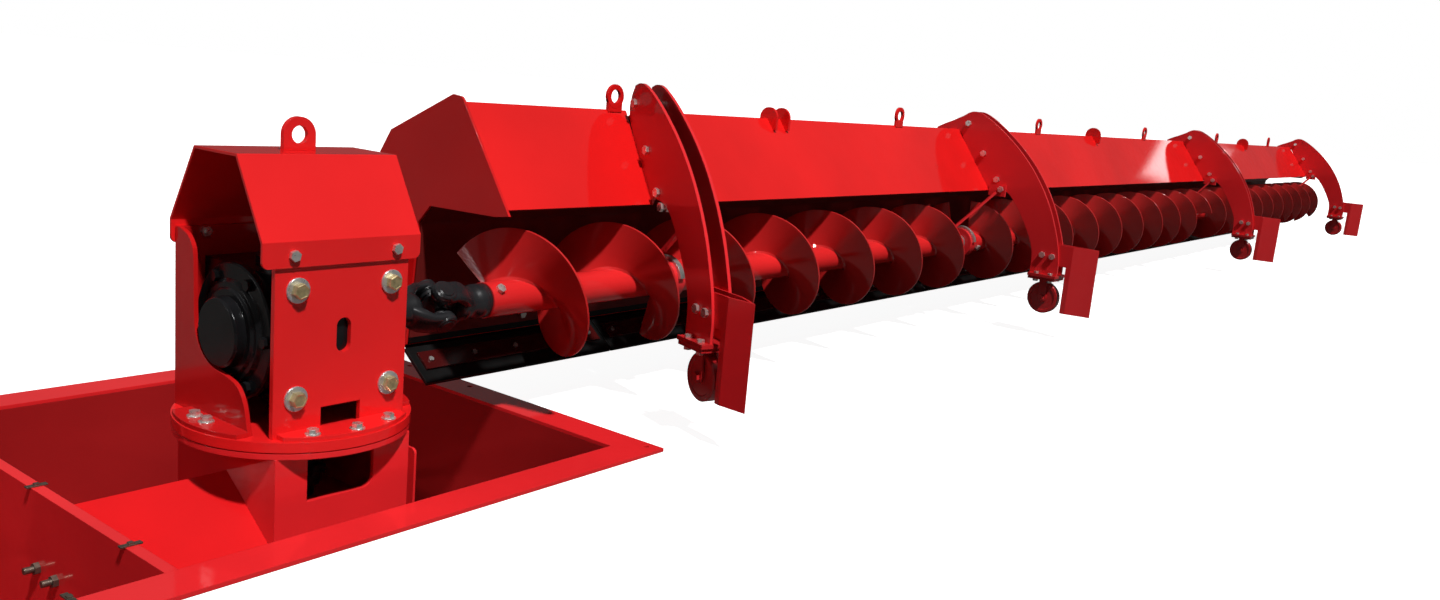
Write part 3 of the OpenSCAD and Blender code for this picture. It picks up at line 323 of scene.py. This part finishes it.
for name, lean, flip, hub_r, hub_end in (("yoke_inner", 130.0, 1.0, 0.033, -0.160),
                                         ("yoke_outer", 40.0, -1.0, 0.036, -0.124)):
    bm = bmesh.new()
    # hub, swelling toward the arms: stations along it and the radius at each
    radius = hub_r - hub_bevel
    ring = bmesh.ops.create_circle(bm, cap_ends=True, segments=48, radius=radius)
    bmesh.ops.transform(bm, verts=ring["verts"], matrix=Matrix.Translation((hub_end, 0, 0)) @ lay_along)
    face = ring["verts"][0].link_faces[0]
    for x, r in ((hub_end + hub_bevel, hub_r), (hub_end + 0.030, hub_r), (hub_end + 0.034, hub_r - 0.003),
                 (-0.075, hub_r - 0.003), (-0.066, hub_r), (-0.058, hub_r + 0.0005), (-0.050, hub_r - 0.005),
                 (-0.045, 0.016)):
        face = grow(bm, face)
        middle = face.calc_center_median()
        bmesh.ops.scale(bm, verts=face.verts, vec=(1, r / radius, r / radius), space=Matrix.Translation(-middle))
        bmesh.ops.translate(bm, verts=face.verts, vec=(x - middle.x, 0, 0))
        radius = r
    # arms: a squarish oval that sweeps outward and flattens into the eye, given
    # at each station by its place along and out, half thickness, half width, tilt
    for side in (-1, 1):
        path = ((-0.072, 0.012, 0.014, 0.026, 25), (-0.061, 0.022, 0.0145, 0.0275, 35),
                (-0.049, 0.032, 0.0125, 0.0275, 32), (-0.037, 0.0385, 0.0105, 0.0255, 15),
                (-0.024, 0.0405, 0.010, 0.0235, 0), (-0.010, 0.041, 0.010, 0.0245, 0),
                (0.004, 0.041, 0.010, 0.0245, 0), (0.015, 0.041, 0.0098, 0.0205, 0),
                (0.022, 0.041, 0.009, 0.0135, 0), (0.0255, 0.041, 0.006, 0.006, 0))
        ring = bmesh.ops.create_circle(bm, cap_ends=True, segments=28, radius=1.0)
        face = ring["verts"][0].link_faces[0]
        shapes = []
        for v in face.verts:
            u, w = v.co.x, v.co.y
            k = (abs(u) ** squareness + abs(w) ** squareness) ** (-1 / squareness)
            shapes.append((u * k, w * k))
        for step, (x, z, thick, wide, tilt) in enumerate(path):
            if step:
                face = grow(bm, face)
            turn = Matrix.Rotation(radians(-tilt * side), 3, "Y")
            for v, (u, w) in zip(face.verts, shapes):
                v.co = Vector((x, 0, side * z)) + turn @ Vector((0, w * wide, u * thick))
        # eye boss and the bearing cap in it
        for r, low, high, chamfer in ((0.0235, 0.0295, 0.0520, 0.0018), (0.0165, 0.0500, 0.0540, 0.0008)):
            cap = bmesh.ops.create_cone(bm, cap_ends=True, segments=48, radius1=r, radius2=r, depth=high - low,
                                        matrix=Matrix.Translation((0, 0, side * (low + high) / 2)))
            rims = [e for e in {e for v in cap["verts"] for e in v.link_edges}
                    if abs(e.verts[0].co.z - e.verts[1].co.z) < 1e-6]
            bmesh.ops.bevel(bm, geom=rims, offset=chamfer, segments=3, affect="EDGES")
    if name == "yoke_inner":
        # the shaft that enters the gearbox
        bmesh.ops.create_cone(bm, cap_ends=True, segments=48, radius1=shaft_r, radius2=shaft_r,
                              depth=shaft_length, matrix=Matrix.Translation((shaft_x, 0, 0)) @ lay_along)
    into_place = Matrix.Translation((joint_x, 0.0, axis_z)) @ Matrix.Rotation(radians(lean), 4, "X")
    bmesh.ops.transform(bm, verts=bm.verts, matrix=into_place @ Matrix.Scale(flip, 4, (1, 0, 0)))
    piece = into_object(bm, "forged_" + name, 50, forged)
    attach(piece, "screw")
    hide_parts(name)

# Screw tube: heavy drawn tube in lengths, pinned to the stub shafts by through
# bolts, in red enamel.
give(red_enamel("screw_enamel", (0.68, 0.019, 0.020), 0.06, 0.14), "auger_tube")
give(zinc_plate("screw_zinc"), "tube_bolts")

# Flighting: steel strip coiled to a right-hand helix, welded to the tube along
# its root and a shade darker. Each length stops short of the next bearing.
pitch, thick = 0.304, 0.006
flight_paint = red_enamel("flight_enamel", (0.57, 0.018, 0.018), 0.05, 0.14)
for number, crest in ((1, 0.511), (2, 0.511), (3, 2.742), (4, 2.742), (5, 2.742)):
    low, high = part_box("flighting_%d" % number)
    length = high.x - low.x - thick
    steps = max(8, round(72 * length / pitch))
    bm = bmesh.new()
    # section of the strip, along the axis and out from it, widened at the weld
    strip = ((0.0372, -0.0045), (0.0435, 0.0), (0.1472, 0.0), (0.148, 0.0008), (0.148, 0.0052), (0.1472, thick),
             (0.0435, thick), (0.0372, 0.0105))
    bm.faces.new([bm.verts.new((low.x + along, 0.0, axis_z + out)) for out, along in strip])
    start = Matrix.Rotation(2 * pi * (low.x - crest) / pitch, 3, "X")
    bmesh.ops.rotate(bm, verts=bm.verts, cent=(0, 0, axis_z), matrix=start)
    bmesh.ops.spin(bm, geom=bm.faces[:], cent=(0, 0, axis_z), axis=(1, 0, 0), dvec=(length / steps, 0, 0),
                   angle=2 * pi * length / pitch, steps=steps, use_merge=False, use_duplicate=False)
    piece = into_object(bm, "flight_helix_%d" % number, 28, flight_paint)
    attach(piece, "screw")
    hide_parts("flighting_%d" % number)

# Hood: long folded sheets butted at the arms and closed by an end plate, glossy
# red outside. Inside, where faces look down, and on the board behind the screw,
# the red is darkened to a painted shade and the coat is thin, and the foot of the
# board is painted black.
board_top, board_back, steepest, hood_low, foot_top = 0.472, 0.2575, -0.3, 0.300, 0.156
hood_paint = red_enamel("hood_enamel_shaded_inside", gloss=0.035, ripple=0.07)
t = hood_paint.node_tree
place, apart, facing, slant = (t.nodes.new(k) for k in ("ShaderNodeTexCoord", "ShaderNodeSeparateXYZ",
                                                        "ShaderNodeNewGeometry", "ShaderNodeSeparateXYZ"))
t.links.new(apart.inputs[0], place.outputs["Object"])
t.links.new(slant.inputs[0], facing.outputs["Normal"])


def work_out(kind, *values):
    n = t.nodes.new("ShaderNodeMath")
    n.operation = kind
    for socket, value in zip(n.inputs, values):
        if isinstance(value, float):
            socket.default_value = value
        else:
            t.links.new(socket, value)
    return n.outputs[0]


def blend(factor, a, b):
    n = t.nodes.new("ShaderNodeMix")
    n.data_type = "RGBA"
    t.links.new(n.inputs["Factor"], factor)
    for socket, value in ((n.inputs["A"], a), (n.inputs["B"], b)):
        if isinstance(value, tuple):
            socket.default_value = value
        else:
            t.links.new(socket, value)
    return n.outputs["Result"]


# where the painted shade goes: the board, the faces that look down under the hood, and the black foot of the board
board = work_out("MULTIPLY", work_out("LESS_THAN", apart.outputs["Z"], board_top),
                 work_out("LESS_THAN", apart.outputs["Y"], board_back))
under = work_out("MULTIPLY", work_out("LESS_THAN", slant.outputs["Z"], steepest),
                 work_out("GREATER_THAN", apart.outputs["Z"], hood_low))
foot = work_out("MULTIPLY", board, work_out("LESS_THAN", apart.outputs["Z"], foot_top))
painted_shade_mask = work_out("MAXIMUM", board, under)
paint = t.nodes["Principled BSDF"].inputs["Base Color"]
# painted shade: the inside of the hood turns deep dark red, and the foot of the board black
painted_shade_and_black_foot = blend(foot, (0.13, 0.012, 0.011, 1), (0.004, 0.003, 0.003, 1))
t.links.new(paint, blend(painted_shade_mask, paint.links[0].from_socket, painted_shade_and_black_foot))
thin_coat = t.nodes.new("ShaderNodeMapRange")
thin_coat.inputs["To Min"].default_value, thin_coat.inputs["To Max"].default_value = 1.0, 0.15
t.links.new(thin_coat.inputs["Value"], painted_shade_mask)
t.links.new(t.nodes["Principled BSDF"].inputs["Coat Weight"], thin_coat.outputs[0])
give(hood_paint, "hood_1", "hood_2", "hood_3", "hood_4", "lifting_lugs")
give(red_enamel("hood_end_enamel", (0.62, 0.008, 0.009), gloss=0.035, ripple=0.07), "hood_end")

# Rings and tabs on the ridge: plate rings that stand along the hood and broad
# plain domed tabs that stand across it, welded on and sprayed with the hood.
bm = bmesh.new()
plate_t, ring_r, hole_r, ring_y, ring_z = 0.008, 0.028, 0.0159, 0.100, 0.7212
for x in (0.894, 2.300, 3.510, 4.926, 6.345, 7.740):
    upright = Matrix.Translation((x, ring_y, ring_z)) @ Matrix.Rotation(radians(90), 4, "X")
    disc = bmesh.ops.create_circle(bm, cap_ends=True, segments=48, radius=ring_r, matrix=upright)
    hole = disc["verts"][0].link_faces[0]
    plate = bmesh.ops.inset_region(bm, faces=[hole], thickness=ring_r - hole_r, use_boundary=True)["faces"]
    bmesh.ops.delete(bm, geom=[hole], context="FACES_ONLY")
    far = [g for g in bmesh.ops.extrude_face_region(bm, geom=plate)["geom"] if isinstance(g, bmesh.types.BMVert)]
    bmesh.ops.translate(bm, verts=far, vec=(0, -plate_t, 0))
    root = Matrix.Translation((x, ring_y - plate_t / 2, 0.695)) @ Matrix.Diagonal((0.048, 0.0079, 0.022, 1))
    bmesh.ops.create_cube(bm, size=1.0, matrix=root)
tab_z, tab_low, ridge_y, ridge_z, slope = 0.692, 0.658, 0.098, 0.688, 1.364
for x, r in ((1.536, 0.029), (1.598, 0.029), (4.169, 0.036), (7.005, 0.036)):
    dome = bmesh.ops.create_circle(bm, cap_ends=True, segments=64, radius=r,
                                   matrix=Matrix.Translation((x, 0.095, tab_z)) @ lay_along)
    for v in dome["verts"]:
        if v.co.z < tab_z - 0.001:
            v.co.z = max(tab_low, min(ridge_z, ridge_z - slope * (ridge_y - v.co.y)))
    front = dome["verts"][0].link_faces[0]
    far = [g for g in bmesh.ops.extrude_face_region(bm, geom=[front])["geom"] if isinstance(g, bmesh.types.BMVert)]
    bmesh.ops.translate(bm, verts=far, vec=(plate_t, 0, 0))
piece = into_object(bm, "ridge_lugs", 28, hood_paint)
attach(piece, "sweep")
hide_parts("lifting_lugs")

# Wiper: black rubber sheet clamped under flat red bars along the foot of the
# hood by small zinc bolts. The hanger clamps have the same dull zinc.
give(black_paint("wiper_rubber", (0.004, 0.004, 0.004), 0.32, 0.15, 60.0), "wiper_strips")
# the bars' red is darkened nearly to black: painted shade under the hood
give(red_enamel("clamp_enamel_painted_shade", (0.05, 0.004, 0.004), 0.12, 0.10), "clamp_bars")
give(zinc_plate("clamp_zinc", (0.62, 0.61, 0.58), 0.28), "clamp_bolts", "hanger_clamps")

# Arms: pairs of curved plates held apart by sleeves and bolts, carrying hangers
# for the screw, bent paddles and wheels.
give(red_enamel("arm_enamel", (0.74, 0.021, 0.026), gloss=0.03, ripple=0.06), "arm_1_inner", "arm_1_outer",
     "arm_2_inner", "arm_2_outer", "arm_3_inner", "arm_3_outer", "arm_4", "hangers", "paddles")
give(zinc_plate("arm_zinc"), "arm_bolts", "arm_spacers", "fork_bolts")
give(red_enamel("wheel_enamel", (0.48, 0.015, 0.018), 0.12, 0.2),
     "wheel_forks", "wheel_1", "wheel_2", "wheel_3", "wheel_4")
